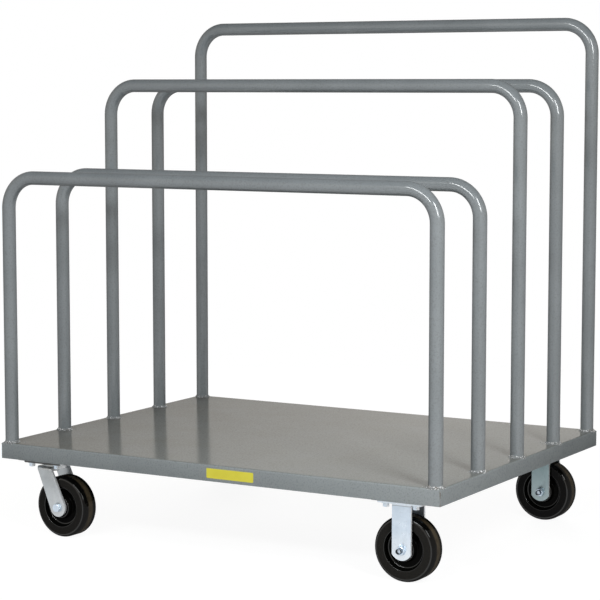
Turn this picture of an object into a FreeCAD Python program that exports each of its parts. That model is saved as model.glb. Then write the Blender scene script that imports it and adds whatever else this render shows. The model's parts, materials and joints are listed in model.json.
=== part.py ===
import FreeCAD
import Part
import math
import os

# Panel truck: a steel deck on two rigid and two swivel casters, with five welded pipe dividers.
# Millimetres and degrees. The floor is z = 0 under the middle of the deck, +X runs along the deck
# to the rigid casters, and +Y runs from the low dividers to the tall one.

# Deck sheet
deck_length = 1219.2
deck_width = 914.4
lip_depth = 39.7
sheet_thickness = 2.66
deck_inside_bend = 1.84
lip_corner_overlap = 0.6
lip_lift = 1.6

# Divider pipes: each rise is from the deck to the pipe's axis
pipe_diameter = 33.4
pipe_wall = 3.38
low_rise = 660.8
middle_rise = 885.4
tall_rise = 1041.2
pipe_bend_radius = 76.2
divider_end_inset = 20.6
divider_side_inset = 17.5
divider_weld_size = 5.0
weld_toe = 0.6

# Blank label on the front lip
label_length = 129.0
label_height = 23.5
label_thickness = 0.15
label_offset = 62.0
label_drop = 20.3

# Frame under the deck
channel_thickness = 4.76
channel_margin = 6.0
channel_side_gap = 2.0
stiffener_width = 76.2
stiffener_thickness = 3.4
stiffener_lift = 5.0
stiffener_end_gap = 2.0

# Caster places: the insets run from the deck's edges to the plate's middle
rigid_end_inset = 112.0
swivel_end_inset = 112.0
caster_side_inset = 66.7
front_swivel_heading = -3.0
rear_swivel_heading = 35.0

# Wheel, its bearing and its axle
wheel_diameter = 152.4
wheel_width = 50.8
tread_edge_radius = 9.0
rim_band = 26.2
rim_slope = 5.0
web_thickness = 27.0
hub_wall = 12.0
hub_draft = 2.5
hub_stand = 2.4
hub_washer_width = 6.0
hub_washer_thickness = 1.6
side_play = 0.75
roller_diameter = 5.4
roller_count = 10
retainer_thickness = 3.0
roller_end_gap = 0.3
running_clearance = 0.05
bushing_wall = 3.125
axle_diameter = 12.7
axle_head_flats = 19.05
axle_head_height = 8.0
axle_nut_flats = 19.05
axle_nut_height = 7.9
axle_tail = 2.2

# Caster plates and the bolts that hold them
plate_width = 101.6
plate_thickness = 6.35
plate_corner_radius = 8.0
plate_end_margin = 19.05
plate_side_margin = 12.7
slot_run = 7.9
slot_drift = 4.8
bolt_diameter = 9.525
bolt_hole_clearance = 0.6
bolt_head_flats = 14.29
bolt_head_height = 6.0
bolt_washer_diameter = 20.6
bolt_washer_thickness = 1.6
bolt_nut_flats = 14.29
bolt_nut_height = 8.3
bolt_tail = 0.8
bolt_leg_gap = 6.05

# Fork legs
leg_width = 47.6
leg_thickness = 6.35
leg_flare = 6.0
leg_side_drop = 9.5
leg_end_drop = 23.3
swivel_trail = 40.6
swivel_leg_radius = 23.0
crown_front = 19.0
crown_back = 25.1
crown_inside_bend = 2.0
crown_clearance = 16.25

# Swivel head
head_height = 9.15
ball_diameter = 6.35
ball_circle = 46.0
ball_gap = 0.6
ball_clearance = 0.3
race_rim = 2.25
race_gap = 2.0
crown_rim = 1.0
kingpin_diameter = 15.875
kingpin_head_diameter = 28.0
kingpin_head_height = 4.35
kingpin_nut_flats = 23.8
kingpin_nut_height = 7.0
kingpin_nut_play = 0.3
kingpin_tail = 1.0

# Heights that follow from the stack of wheel, fork, swivel head, plate and lip
axle_height = wheel_diameter / 2
crown_bottom = wheel_diameter + crown_clearance
crown_top = crown_bottom + leg_thickness
plate_bottom = crown_top + head_height
plate_top = plate_bottom + plate_thickness
lip_bottom = plate_top + lip_lift
deck_height = lip_bottom + lip_depth

# Sizes that follow from the parts they fit
bushing_bore = axle_diameter + 2 * running_clearance
bushing_diameter = bushing_bore + 2 * bushing_wall
bearing_bore = bushing_diameter + 2 * roller_diameter + 4 * running_clearance
hub_length = wheel_width + 2 * hub_stand
fork_gap = hub_length + 2 * (hub_washer_thickness + side_play)
fork_width = fork_gap + 2 * leg_thickness
nut_corners = bolt_nut_flats / math.cos(math.radians(30))
bolt_spacing_x = leg_width + nut_corners + 2 * bolt_leg_gap
bolt_spacing_y = plate_width - 2 * plate_side_margin
plate_length = bolt_spacing_x + 2 * plate_end_margin
channel_width = plate_length + 2 * channel_margin
lip_inside_depth = lip_depth - sheet_thickness
channel_height = lip_lift + lip_inside_depth
deck_bend = deck_inside_bend + sheet_thickness
seam_size = sheet_thickness - lip_corner_overlap
race_radius = (ball_circle + ball_diameter) / 2 + race_rim
ball_height = crown_top + head_height / 2

# Places
caster_y = deck_width / 2 - caster_side_inset
rigid_x = deck_length / 2 - rigid_end_inset
swivel_x = swivel_end_inset - deck_length / 2
leg_x = deck_length / 2 - divider_end_inset
first_divider_y = divider_side_inset - deck_width / 2
divider_rises = {
    "front_low_divider": low_rise,
    "second_low_divider": low_rise,
    "third_middle_divider": middle_rise,
    "fourth_middle_divider": middle_rise,
    "rear_tall_divider": tall_rise,
}
divider_pitch = -2 * first_divider_y / (len(divider_rises) - 1)
divider_ys = [first_divider_y + n * divider_pitch for n in range(len(divider_rises))]

vector = FreeCAD.Vector
along_x = vector(1, 0, 0)
along_y = vector(0, 1, 0)
along_z = vector(0, 0, 1)


# Shared shapes


def centred_box(length, width, height, base):
    corner = base - vector(length / 2, width / 2, 0)
    return Part.makeBox(length, width, height, corner)


def ring(outer_radius, inner_radius, height, base, axis=along_z):
    body = Part.makeCylinder(outer_radius, height, base, axis)
    return body.cut(Part.makeCylinder(inner_radius, height, base, axis))


def line(start, end):
    return Part.LineSegment(start, end).toShape()


def arc(start, middle, end):
    return Part.Arc(start, middle, end).toShape()


def closed_prism(edges, travel):
    return Part.Face(Part.Wire(edges)).extrude(travel)


def edges_along(shape, axis, height=None):
    found = []
    for edge in shape.Edges:
        run = edge.Vertexes[-1].Point - edge.Vertexes[0].Point
        level = height is None or abs(edge.CenterOfMass.z - height) < Part.Precision.confusion()
        if level and abs(abs(run.dot(axis)) - run.Length) < Part.Precision.confusion():
            found.append(edge)
    return found


def hex_body(flats, height, round_both_ends):
    corner_radius = flats / 2 / math.cos(math.radians(30))
    corners = []
    for turn in range(6):
        angle = math.radians(60 * turn)
        corners.append(vector(math.cos(angle), math.sin(angle), 0) * corner_radius)
    sides = [line(corners[n - 1], corners[n]) for n in range(6)]
    prism = closed_prism(sides, along_z * height)
    turned = Part.makeCylinder(corner_radius, height)
    rims = [edge for edge in turned.Edges if edge.isClosed()]
    if not round_both_ends:
        rims = [edge for edge in rims if edge.CenterOfMass.z > height / 2]
    return prism.common(turned.makeChamfer(corner_radius - flats / 2, rims))


def laid_along_y(shape, y, turned_back=False):
    laid = shape.copy()
    laid.rotate(vector(), along_x, 90 if turned_back else -90)
    laid.translate(vector(0, y, axle_height))
    return laid


def moved(shape, x, y, heading=0.0):
    placed = shape.copy()
    placed.rotate(vector(), along_z, heading)
    placed.translate(vector(x, y, 0))
    return placed


# Deck


def deck_block(length, width, height, bend, base):
    block = centred_box(length, width, height, base)
    top = base.z + height
    rims = edges_along(block, along_x, top) + edges_along(block, along_y, top)
    return block.makeFillet(bend, rims)


def deck_outside():
    return deck_block(deck_length, deck_width, lip_depth, deck_bend, vector(0, 0, lip_bottom))


def corner_notches():
    notches = []
    for side_x in (-1, 1):
        for side_y in (-1, 1):
            x = side_x * (deck_length - seam_size) / 2
            y = side_y * (deck_width - seam_size) / 2
            base = vector(x, y, lip_bottom)
            notch = centred_box(seam_size, seam_size, lip_depth - deck_bend, base)
            inner_corner = base - vector(side_x, side_y, 0) * (seam_size / 2)
            notches.append((notch, inner_corner))
    return notches


def make_deck_pan():
    inside_length = deck_length - 2 * sheet_thickness
    inside_width = deck_width - 2 * sheet_thickness
    base = vector(0, 0, lip_bottom)
    hollow = deck_block(inside_length, inside_width, lip_inside_depth, deck_inside_bend, base)
    pan = deck_outside().cut(hollow)
    for notch, _ in corner_notches():
        pan = pan.cut(notch)
    return pan


def make_corner_welds():
    beads = []
    for notch, inner_corner in corner_notches():
        bead = Part.makeCylinder(seam_size, lip_depth - deck_bend, inner_corner)
        beads.append(bead.common(notch))
    return Part.Compound(beads)


def make_label():
    base = vector(label_offset, -(deck_width + label_thickness) / 2, 0)
    base.z = deck_height - label_drop - label_height / 2
    return centred_box(label_length, label_thickness, label_height, base)


# Dividers


def divider_path(y, rise):
    top = deck_height + rise
    reach = pipe_bend_radius * (1 - math.cos(math.radians(45)))
    edges = []
    foot = vector(-leg_x, y, deck_height)
    bend_start = vector(-leg_x, y, top - pipe_bend_radius)
    bend_middle = vector(reach - leg_x, y, top - reach)
    bend_end = vector(pipe_bend_radius - leg_x, y, top)
    flip = FreeCAD.Matrix(-1, 0, 0, 0, 0, 1, 0, 0, 0, 0, 1, 0, 0, 0, 0, 1)
    edges.append(line(foot, bend_start))
    edges.append(arc(bend_start, bend_middle, bend_end))
    edges.append(line(bend_end, flip * bend_end))
    edges.append(arc(flip * bend_end, flip * bend_middle, flip * bend_start))
    edges.append(line(flip * bend_start, flip * foot))
    return Part.Wire(edges), foot


def make_divider(y, rise):
    path, foot = divider_path(y, rise)
    skins = []
    for radius in (pipe_diameter / 2, pipe_diameter / 2 - pipe_wall):
        section = Part.Wire(Part.makeCircle(radius, foot, along_z))
        skins.append(path.makePipeShell([section], True, False))
    return skins[0].cut(skins[1])


def make_divider_welds():
    pipe_radius = pipe_diameter / 2
    bead_radius = pipe_radius + divider_weld_size
    deck_base = vector(0, 0, deck_height - deck_bend)
    over_deck = centred_box(deck_length, deck_width, deck_bend + divider_weld_size, deck_base)
    deck = deck_outside()
    beads = []
    for y in divider_ys:
        for x in (-leg_x, leg_x):
            foot = vector(x, y, deck_height)
            skirt = Part.makeCylinder(bead_radius, deck_bend, vector(x, y, deck_base.z))
            crest = Part.makeCone(bead_radius, pipe_radius + weld_toe, divider_weld_size, foot)
            bead = skirt.fuse(crest).common(over_deck)
            bead = bead.cut(Part.makeCylinder(pipe_radius, divider_weld_size, foot))
            beads.append(bead.cut(deck).removeSplitter())
    return Part.Compound(beads)


# Frame under the deck


def bolt_places(x, y):
    places = []
    for side_x in (-1, 1):
        for side_y in (-1, 1):
            places.append(vector(x + side_x * bolt_spacing_x / 2, y + side_y * bolt_spacing_y / 2, 0))
    return places


def make_caster_channel(x):
    outward = math.copysign(1, x)
    length = deck_width - 2 * (sheet_thickness + channel_side_gap)
    base = vector(x, 0, plate_top)
    channel = centred_box(channel_width, length, channel_height, base)
    opening = centred_box(channel_width, length, channel_height - 2 * channel_thickness, base)
    opening.translate(vector(-outward * channel_thickness, 0, channel_thickness))
    channel = channel.cut(opening)
    hole_radius = bolt_diameter / 2 + bolt_hole_clearance
    for y in (-caster_y, caster_y):
        for place in bolt_places(x, y):
            hole_base = place + along_z * plate_top
            channel = channel.cut(Part.makeCylinder(hole_radius, channel_thickness, hole_base))
    return channel


def make_stiffener():
    start = swivel_x + channel_width / 2 + stiffener_end_gap
    end = rigid_x - channel_width / 2 - stiffener_end_gap
    height = channel_height - stiffener_lift
    base = vector((start + end) / 2, 0, plate_top + stiffener_lift)
    body = centred_box(end - start, stiffener_width, height, base)
    trough_width = stiffener_width - 2 * stiffener_thickness
    trough_base = base + along_z * stiffener_thickness
    return body.cut(centred_box(end - start, trough_width, height - stiffener_thickness, trough_base))


# Caster bolts: heads inside the channel, nuts under the plate


def make_bolt():
    seat = plate_top + channel_thickness
    end = plate_bottom - bolt_washer_thickness - bolt_nut_height - bolt_tail
    head = hex_body(bolt_head_flats, bolt_head_height, False)
    head.translate(along_z * seat)
    return head.fuse(Part.makeCylinder(bolt_diameter / 2, seat - end, along_z * end)).removeSplitter()


def make_bolt_washer():
    base = along_z * (plate_bottom - bolt_washer_thickness)
    hole_radius = bolt_diameter / 2 + running_clearance
    return ring(bolt_washer_diameter / 2, hole_radius, bolt_washer_thickness, base)


def make_bolt_nut():
    nut = hex_body(bolt_nut_flats, bolt_nut_height, True)
    nut = nut.cut(Part.makeCylinder(bolt_diameter / 2 + running_clearance, bolt_nut_height))
    nut.translate(along_z * (plate_bottom - bolt_washer_thickness - bolt_nut_height))
    return nut


def at_every_bolt(shape):
    copies = []
    for x in (swivel_x, rigid_x):
        for y in (-caster_y, caster_y):
            for place in bolt_places(x, y):
                copies.append(moved(shape, place.x, place.y))
    return Part.Compound(copies)


# Caster plates and forks, each about its own upright axis


def slot(start, end, radius, height):
    along = (end - start).normalize()
    side = vector(-along.y, along.x, 0) * radius
    cap = along * radius
    edges = [
        line(start + side, end + side),
        arc(end + side, end + cap, end - side),
        line(end - side, start - side),
        arc(start - side, start - cap, start + side),
    ]
    return closed_prism(edges, along_z * height)


def make_plate():
    plate = centred_box(plate_length, plate_width, plate_thickness, along_z * plate_bottom)
    plate = plate.makeFillet(plate_corner_radius, edges_along(plate, along_z))
    hole_radius = bolt_diameter / 2 + bolt_hole_clearance
    for place in bolt_places(0, 0):
        start = place + along_z * plate_bottom
        drift = vector(math.copysign(slot_run, place.x), -math.copysign(slot_drift, place.y), 0)
        plate = plate.cut(slot(start, start + drift, hole_radius, plate_thickness))
    return plate


def axle_hole(x):
    radius = axle_diameter / 2 + running_clearance
    return Part.makeCylinder(radius, fork_width, vector(x, -fork_width / 2, axle_height), along_y)


def make_rigid_leg(side):
    inner_y = side * fork_gap / 2
    half = leg_width / 2
    top_left = vector(-half, inner_y, plate_bottom)
    top_right = vector(half, inner_y, plate_bottom)
    low_left = vector(-half, inner_y, axle_height - leg_side_drop)
    low_right = vector(half, inner_y, axle_height - leg_side_drop)
    end = vector(0, inner_y, axle_height - leg_end_drop)
    edges = [
        line(top_left, top_right),
        line(top_right, low_right),
        arc(low_right, end, low_left),
        line(low_left, top_left),
    ]
    return closed_prism(edges, along_y * side * leg_thickness)


def make_leg_flare(side):
    outer_y = side * fork_width / 2
    reach = leg_flare * (1 - math.cos(math.radians(45)))
    corner = vector(-leg_width / 2, outer_y, plate_bottom)
    out = corner + along_y * side * leg_flare
    down = corner - along_z * leg_flare
    middle = corner + vector(0, side * reach, -reach)
    edges = [line(corner, out), arc(out, middle, down), line(down, corner)]
    return closed_prism(edges, along_x * leg_width)


def make_rigid_fork():
    fork = make_plate()
    for side in (-1, 1):
        fork = fork.fuse(make_rigid_leg(side)).fuse(make_leg_flare(side))
    return fork.cut(axle_hole(0)).removeSplitter()


def ball_groove(clearance):
    return Part.makeTorus(ball_circle / 2, ball_diameter / 2 + clearance, along_z * ball_height)


def make_swivel_plate():
    race_bottom = ball_height + race_gap / 2
    race = Part.makeCylinder(race_radius, plate_bottom - race_bottom, along_z * race_bottom)
    plate = make_plate().fuse(race).removeSplitter()
    plate = plate.cut(ball_groove(ball_clearance))
    shank_radius = kingpin_diameter / 2 + running_clearance
    plate = plate.cut(Part.makeCylinder(shank_radius, plate_top - race_bottom, along_z * race_bottom))
    seat = along_z * (plate_top - kingpin_head_height)
    head_radius = kingpin_head_diameter / 2 + running_clearance
    return plate.cut(Part.makeCylinder(head_radius, kingpin_head_height, seat))


def tangent_point(start, centre, radius, turn):
    reach = centre - start
    length = math.sqrt(reach.Length ** 2 - radius ** 2)
    angle = math.atan2(reach.z, reach.x) + turn * math.asin(radius / reach.Length)
    return start + vector(math.cos(angle), 0, math.sin(angle)) * length


def swivel_side_outline():
    y = -fork_width / 2
    axle = vector(swivel_trail, y, axle_height)
    back = vector(-crown_back, y, crown_top)
    front = vector(crown_front, y, crown_top)
    back_low = tangent_point(back, axle, swivel_leg_radius, -1)
    front_low = tangent_point(front, axle, swivel_leg_radius, 1)
    foot = axle + (axle - (back + front) / 2).normalize() * swivel_leg_radius
    return [line(back, front), line(front, front_low), arc(front_low, foot, back_low), line(back_low, back)]


def make_swivel_fork():
    span = 2 * (swivel_trail + swivel_leg_radius + crown_back)
    arch = centred_box(span, fork_width, crown_top, vector())
    arch = arch.makeFillet(crown_inside_bend + leg_thickness, edges_along(arch, along_x, crown_top))
    space = centred_box(span, fork_gap, crown_bottom, vector())
    space = space.makeFillet(crown_inside_bend, edges_along(space, along_x, crown_bottom))
    fork = arch.cut(space).common(closed_prism(swivel_side_outline(), along_y * fork_width))
    disc = Part.makeCylinder(race_radius + crown_rim, leg_thickness, along_z * crown_bottom)
    race_top = ball_height - race_gap / 2
    race = Part.makeCylinder(race_radius, race_top - crown_top, along_z * crown_top)
    fork = fork.fuse(disc.common(arch)).fuse(race).removeSplitter()
    fork = fork.cut(ball_groove(running_clearance)).cut(axle_hole(swivel_trail))
    bore = kingpin_diameter / 2 + running_clearance
    return fork.cut(Part.makeCylinder(bore, race_top - crown_bottom, along_z * crown_bottom))


def make_balls():
    count = int(math.pi * ball_circle / (ball_diameter + ball_gap))
    balls = []
    for n in range(count):
        angle = 2 * math.pi * n / count
        place = vector(math.cos(angle), math.sin(angle), 0) * (ball_circle / 2)
        balls.append(Part.makeSphere(ball_diameter / 2, place + along_z * ball_height))
    return Part.Compound(balls)


def kingpin_nut_top():
    return crown_bottom - kingpin_nut_play


def make_kingpin():
    end = kingpin_nut_top() - kingpin_nut_height - kingpin_tail
    seat = plate_top - kingpin_head_height
    shank = Part.makeCylinder(kingpin_diameter / 2, seat - end, along_z * end)
    head = Part.makeCylinder(kingpin_head_diameter / 2, kingpin_head_height, along_z * seat)
    return shank.fuse(head).removeSplitter()


def make_kingpin_nut():
    nut = hex_body(kingpin_nut_flats, kingpin_nut_height, True)
    nut = nut.cut(Part.makeCylinder(kingpin_diameter / 2 + running_clearance, kingpin_nut_height))
    nut.translate(along_z * (kingpin_nut_top() - kingpin_nut_height))
    return nut


# Wheel and what turns in it, about an axle along Y


def make_wheel():
    tread = wheel_diameter / 2
    face = wheel_width / 2
    rim = tread - rim_band
    web = rim - rim_slope
    hub = bearing_bore / 2 + hub_wall
    shoulder = tread_edge_radius * math.cos(math.radians(45))
    corner_x = tread - tread_edge_radius
    corner_y = face - tread_edge_radius
    half = [
        vector(bearing_bore / 2, hub_length / 2, 0),
        vector(hub, hub_length / 2, 0),
        vector(hub + hub_draft, web_thickness / 2, 0),
        vector(web, web_thickness / 2, 0),
        vector(rim, face, 0),
        vector(corner_x, face, 0),
    ]
    flip = FreeCAD.Matrix(1, 0, 0, 0, 0, -1, 0, 0, 0, 0, 1, 0, 0, 0, 0, 1)
    tread_edge = vector(tread, corner_y, 0)
    shoulder_point = vector(corner_x + shoulder, corner_y + shoulder, 0)
    edges = []
    for start, end in zip(half[:-1], half[1:]):
        edges.append(line(start, end))
        edges.append(line(flip * start, flip * end))
    edges.append(line(half[0], flip * half[0]))
    edges.append(arc(half[-1], shoulder_point, tread_edge))
    edges.append(line(tread_edge, flip * tread_edge))
    edges.append(arc(flip * tread_edge, flip * shoulder_point, flip * half[-1]))
    profile = Part.Face(Part.Wire(Part.__sortEdges__(edges)))
    wheel = profile.revolve(vector(), along_y, 360)
    wheel.translate(along_z * axle_height)
    return wheel


def make_bearing():
    roller_circle = bushing_diameter / 2 + running_clearance + roller_diameter / 2
    roller_length = hub_length - 2 * (retainer_thickness + roller_end_gap)
    rollers = []
    for n in range(roller_count):
        angle = 2 * math.pi * n / roller_count
        place = vector(math.cos(angle), math.sin(angle), 0) * roller_circle
        roller = Part.makeCylinder(roller_diameter / 2, roller_length, place)
        rollers.append(laid_along_y(roller, -roller_length / 2))
    outer_radius = bearing_bore / 2 - running_clearance
    inner_radius = bushing_diameter / 2 + 2 * running_clearance
    retainer = ring(outer_radius, inner_radius, retainer_thickness, vector())
    ends = [laid_along_y(retainer, -hub_length / 2)]
    ends.append(laid_along_y(retainer, hub_length / 2 - retainer_thickness))
    return Part.Compound(rollers + ends)


def make_hub_washers():
    inner_radius = bushing_diameter / 2 + 2 * running_clearance
    washer = ring(bearing_bore / 2 + hub_washer_width, inner_radius, hub_washer_thickness, vector())
    near = laid_along_y(washer, -hub_length / 2 - hub_washer_thickness)
    return Part.Compound([near, laid_along_y(washer, hub_length / 2)])


def make_bushing():
    return laid_along_y(ring(bushing_diameter / 2, bushing_bore / 2, fork_gap, vector()), -fork_gap / 2)


def make_axle_bolt(head_side):
    length = fork_width + axle_nut_height + axle_tail
    shank = Part.makeCylinder(axle_diameter / 2, length, along_z * -length)
    bolt = hex_body(axle_head_flats, axle_head_height, False).fuse(shank).removeSplitter()
    return laid_along_y(bolt, head_side * fork_width / 2, head_side < 0)


def make_axle_nut(head_side):
    nut = hex_body(axle_nut_flats, axle_nut_height, True)
    nut = nut.cut(Part.makeCylinder(axle_diameter / 2 + running_clearance, axle_nut_height))
    return laid_along_y(nut, -head_side * fork_width / 2, head_side > 0)


# The whole truck


def wheel_set(head_side):
    return {
        "wheel": make_wheel(),
        "wheel_bearing": make_bearing(),
        "hub_washers": make_hub_washers(),
        "axle_bushing": make_bushing(),
        "axle_bolt": make_axle_bolt(head_side),
        "axle_nut": make_axle_nut(head_side),
    }


def make_truck():
    nodes = {
        "deck_pan": make_deck_pan(),
        "deck_corner_welds": make_corner_welds(),
        "blank_label": make_label(),
        "divider_welds": make_divider_welds(),
        "left_caster_channel": make_caster_channel(swivel_x),
        "right_caster_channel": make_caster_channel(rigid_x),
        "centre_stiffener": make_stiffener(),
        "caster_bolts": at_every_bolt(make_bolt()),
        "caster_washers": at_every_bolt(make_bolt_washer()),
        "caster_nuts": at_every_bolt(make_bolt_nut()),
    }
    for y, (name, rise) in zip(divider_ys, divider_rises.items()):
        nodes[name] = make_divider(y, rise)
    rigid_wheel = wheel_set(1)
    swivel_wheel = wheel_set(-1)
    fixed_head = {
        "swivel_plate": make_swivel_plate(),
        "kingpin": make_kingpin(),
        "kingpin_nut": make_kingpin_nut(),
    }
    turning_head = {"swivel_fork": make_swivel_fork(), "swivel_balls": make_balls()}
    trail = along_x * swivel_trail
    ends = (("front", -caster_y, front_swivel_heading), ("rear", caster_y, rear_swivel_heading))
    for end, y, heading in ends:
        nodes[end + "_rigid_fork"] = moved(make_rigid_fork(), rigid_x, y)
        for name, shape in rigid_wheel.items():
            nodes[end + "_rigid_" + name] = moved(shape, rigid_x, y)
        for name, shape in fixed_head.items():
            nodes[end + "_" + name] = moved(shape, swivel_x, y)
        for name, shape in turning_head.items():
            nodes[end + "_" + name] = moved(shape, swivel_x, y, heading)
        for name, shape in swivel_wheel.items():
            nodes[end + "_swivel_" + name] = moved(shape.translated(trail), swivel_x, y, heading)
    return nodes


os.makedirs("parts", exist_ok=True)
for node, shape in make_truck().items():
    shape.exportStep("parts/" + node + ".step")
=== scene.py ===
import json
import math
import random

import bmesh
import bpy
from mathutils import Matrix, Vector, noise


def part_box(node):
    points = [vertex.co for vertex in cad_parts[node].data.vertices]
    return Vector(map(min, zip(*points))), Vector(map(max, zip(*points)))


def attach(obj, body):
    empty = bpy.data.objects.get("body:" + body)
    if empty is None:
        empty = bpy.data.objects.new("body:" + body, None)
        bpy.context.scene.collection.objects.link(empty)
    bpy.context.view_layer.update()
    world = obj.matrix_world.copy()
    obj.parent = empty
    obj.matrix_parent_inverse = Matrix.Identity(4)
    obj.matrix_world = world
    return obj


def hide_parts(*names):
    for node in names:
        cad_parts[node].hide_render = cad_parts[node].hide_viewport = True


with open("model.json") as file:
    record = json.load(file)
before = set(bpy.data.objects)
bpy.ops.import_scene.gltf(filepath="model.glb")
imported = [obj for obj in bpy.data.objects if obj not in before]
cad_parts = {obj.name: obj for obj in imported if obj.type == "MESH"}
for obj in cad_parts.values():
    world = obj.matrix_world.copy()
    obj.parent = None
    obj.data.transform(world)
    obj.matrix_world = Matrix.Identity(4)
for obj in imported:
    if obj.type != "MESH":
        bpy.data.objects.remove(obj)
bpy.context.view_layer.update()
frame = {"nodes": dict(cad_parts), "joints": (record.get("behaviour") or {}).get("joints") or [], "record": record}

scene = bpy.context.scene
bodies = frame["record"]["behaviour"]["bodies"]
bodyOf = {node: body for body, nodes in bodies.items() for node in nodes}
print("frame loaded:", len(frame["nodes"]), "nodes")


# socket maths: an expression on values adds its Math nodes
class Sock:
    def __init__(self, finish, socket):
        self.finish = finish
        self.socket = socket

    def math(self, operation, *others):
        return self.finish.node("Math", {"operation": operation}, dict(enumerate((self, *others))))

    def __add__(self, other):
        return self.math("ADD", other)

    __radd__ = __add__

    def __mul__(self, other):
        return self.math("MULTIPLY", other)

    __rmul__ = __mul__

    def __sub__(self, other):
        return self.math("SUBTRACT", other)

    def __rsub__(self, other):
        return self.finish.node("Math", {"operation": "SUBTRACT"}, {0: other, 1: self})

    def clamp(self, low=0.0, high=1.0):
        return self.math("MAXIMUM", low).math("MINIMUM", high)


# the node tree of a material or of the world
class Finish:
    def __init__(self, owner):
        self.owner = owner
        owner.use_nodes = True
        self.tree = owner.node_tree
        self.tree.nodes.clear()

    def node(self, kind, settings, values, out=0):
        made = self.tree.nodes.new("ShaderNode" + kind)
        for key, value in settings.items():
            setattr(made, key, value)
        for key, value in values.items():
            if isinstance(value, Sock):
                self.tree.links.new(value.socket, made.inputs[key])
            else:
                made.inputs[key].default_value = value
        return Sock(self, made.outputs[out]) if made.outputs else None

    def place(self):
        return self.node("TexCoord", {}, {}, "Object")

    def along(self, vector, axis):  # a vector's X, Y or Z
        return self.node("SeparateXYZ", {}, {0: vector}, axis)

    def stretched(self, shares):
        return self.node("VectorMath", {"operation": "MULTIPLY"}, {0: self.place(), 1: shares})

    def length(self, vector):
        return self.node("VectorMath", {"operation": "LENGTH"}, {0: vector}, "Value")

    def noise(self, scale, detail=3.0, rough=0.5, where=None):
        return self.node("TexNoise", {}, {"Vector": where or self.place(), "Scale": scale,
                                          "Detail": detail, "Roughness": rough})

    def spots(self, scale, detail, low, high):  # noise, only where it is high
        return self.ramp(self.noise(scale, detail), low, high)

    def ramp(self, value, low, high):
        return self.node("MapRange", {"clamp": True}, {"Value": value, "From Min": low, "From Max": high})

    def mix(self, amount, first, second):
        return self.node("Mix", {"data_type": "RGBA"}, {0: amount, 6: first, 7: second}, 2)

    def bump(self, height, strength, distance, under=None):
        values = {"Height": height, "Strength": strength, "Distance": distance}
        if under:
            values["Normal"] = under
        return self.node("Bump", {}, values)

    def surface(self, values):
        shader = self.node("BsdfPrincipled", {}, values)
        self.node("OutputMaterial", {}, {"Surface": shader})
        return self.owner


def newFinish(name):
    return Finish(bpy.data.materials.new(name))


def rgb(red, green, blue):  # screen values 0..255 to linear
    linear = []
    for part in (red, green, blue):
        share = part / 255
        linear.append(share / 12.92 if share <= 0.04045 else ((share + 0.055) / 1.055) ** 2.4)
    return (*linear, 1.0)


# In each look, noise has its scale, its detail and at times its roughness. Spots also have the levels
# where they begin and are full. A bump's depth is its strength and its distance in metres.

# grey baked paint over sheet and pipe
paintLook = {
    "grey": {"sheet": rgb(145, 151, 153), "pipe": rgb(121, 127, 130)},
    "pale": {"sheet": rgb(152, 158, 160), "pipe": rgb(128, 134, 137)},
    "cloud": (7.0, 4.0),
    "paleFrom": (0.35, 0.7),
    "fleck": rgb(172, 175, 174),
    "fleckSpots": (900.0, 1.0, 0.66, 0.74),
    "fleckShare": 0.14,
    "mottle": rgb(92, 95, 96),      # darker grain in the spray
    "mottleFrom": (0.5, 0.72),
    "mottleShare": 0.34,
    "grain": (260.0, 2.0),
    "peel": (620.0, 2.0),           # orange peel, about 1.6 mm
    "peelDepth": {"sheet": (0.3, 0.00003), "pipe": (0.3, 0.000005)},
    "rough": {"sheet": 0.25, "pipe": 0.30},
    "roughVaries": (0.08, 0.05),    # with the clouds and with the grain
    "sheen": {"sheet": 0.79, "pipe": 0.19},      # clear gloss on the deck's top and round the pipes
    "sheenVaries": (0.85, 0.3),     # the least share of it on a pipe, and what the clouds add
    "sheenIndex": {"sheet": 1.12, "pipe": 3.2},  # low shows at a flat angle only, high at all angles
    "sheenRough": {"sheet": 0.145, "pipe": 0.13},
}

# the film of dust on the deck's top, painted darker towards the swivel end as painted shade, and the wear under it
dustLook = {
    "shades": (rgb(104, 100, 90), rgb(124, 125, 119)),  # at the swivel end, painted darker there as painted shade, and at the other
    "upward": (0.6, 0.95),          # how far up a face has to look
    "gathers": (0.7, 1.4),
    "share": (0.45, 0.4),           # the least of the film, and what gathers in patches
    "worn": (-0.6, 0.15),           # along X, from the worn swivel end with its painted shade to where the wear and the painted shade stop
    "sheen": (0.68, 0.52),          # share of the gloss where worn, and what the rest has more
    "swell": (9.0, 1.0),            # slow waves in the sheet
    "swellDepth": (0.2, 0.0009),
}


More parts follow.
